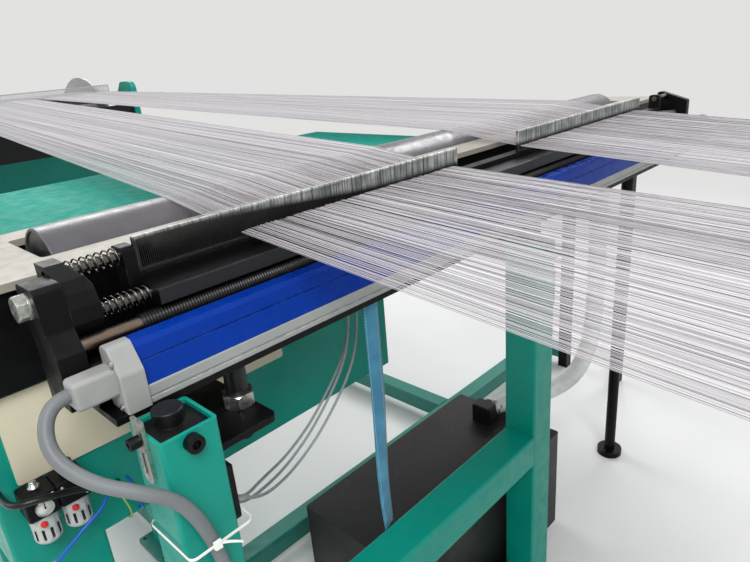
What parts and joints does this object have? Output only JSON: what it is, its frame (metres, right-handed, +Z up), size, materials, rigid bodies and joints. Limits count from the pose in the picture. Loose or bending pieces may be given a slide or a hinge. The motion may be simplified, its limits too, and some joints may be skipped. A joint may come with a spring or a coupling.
{
  "type": "warping machine",
  "caption": "Textile warping machine: two warp sheets run through reeds on a sprung carriage, over a guide roller and a rear reed onto a driven beam.",
  "frame": {"origin": "on the floor, in the middle of the machine's footprint", "axes": "+X along the reeds to the far end, +Y the way the yarn runs to the beam, +Z up"},
  "size_m": [2.36, 4.475, 1.3799],
  "materials": {
    "green_paint": "satin",
    "black_paint": "satin",
    "dark_steel": "satin",
    "bright_steel": "satin",
    "blue_aluminium": "satin",
    "silver_aluminium": "satin",
    "grey_plastic": "matte",
    "black_plastic": "matte",
    "cream_paint": "satin",
    "table_paint": "satin",
    "white_hose": "matte",
    "clear_plastic": "gloss",
    "yarn": "matte",
    "blue_ribbon": "matte",
    "grey_paint": "satin"
  },
  "bodies": {
    "frame": {"air_bowls": "clear_plastic", "air_unit": "black_plastic", "bar_hanger": "bright_steel", "base_rails": "green_paint", "beam_bearings": "grey_paint", "bed_beam_front": "black_paint", "bed_beam_rear": "black_paint", "black_legs": "black_paint", "black_screws": "dark_steel", "cabinet_legs": "green_paint", "cabinet_lower": "green_paint", "cabinet_panel": "cream_paint", "cabinet_upper": "green_paint", "cable_tie": "white_hose", "cap_screws": "bright_steel", "drive_motor": "grey_paint", "end_brackets": "black_paint", "feed_clamp": "dark_steel", "feed_stand": "green_paint", "floor_box": "black_plastic", "foot_plates": "green_paint", "guide_rods": "bright_steel", "hanging_strap": "blue_ribbon", "jack_brackets": "black_paint", "jack_nuts": "dark_steel", "jack_screws": "dark_steel", "jack_sleeves": "black_plastic", "light_bar_base": "silver_aluminium", "light_bar_cap_left": "grey_plastic", "light_bar_cap_right": "grey_plastic", "light_bar_cover": "blue_aluminium", "lower_spring": "bright_steel", "pivot_bolt": "bright_steel", "pivot_plate": "black_paint", "rear_frames": "green_paint", "rear_reed": "bright_steel", "rear_ties": "dark_steel", "reed_beam": "black_paint", "roller_bearings": "black_paint", "sensor_cable": "grey_plastic", "spreader_shaft": "dark_steel", "spreader_sleeve": "black_plastic", "stand_post_left": "green_paint", "stand_post_middle": "green_paint", "stand_rail": "green_paint", "suction_hose": "white_hose", "table_plate": "table_paint", "upper_spring": "bright_steel", "warp_left": "yarn", "warp_right": "yarn"},
    "reed_carriage": {"reed_carrier": "black_paint", "carriage_slab": "dark_steel", "reed_left": "bright_steel", "reed_right": "bright_steel"},
    "guide_roller": {"roller_shell": "dark_steel", "roller_shaft": "bright_steel"},
    "beam": {"beam_shaft": "bright_steel", "beam_flanges": "silver_aluminium", "beam_yarn": "yarn"},
    "knob": {"air_knob": "black_plastic"}
  },
  "joints": [
    {"name": "reed_traverse", "type": "slide", "parent": "frame", "child": "reed_carriage", "axis": [1, 0, 0], "range_m": [-0.005, 0.005], "stiffness_N_per_m": 3000, "deforming": ["upper_spring", "lower_spring", "warp_left", "warp_right"]},
    {"name": "guide_roller_spin", "type": "hinge", "parent": "frame", "child": "guide_roller", "pos_m": [0, -0.9285, 1.11], "axis": [1, 0, 0], "continuous": true},
    {"name": "beam_spin", "type": "hinge", "parent": "frame", "child": "beam", "pos_m": [0, 1.7975, 1], "axis": [1, 0, 0], "continuous": true},
    {"name": "air_knob_turn", "type": "hinge", "parent": "frame", "child": "knob", "pos_m": [-1.088, -1.0965, 0.86], "axis": [0, 0, 1], "range_deg": [0, 360]}
  ]
}
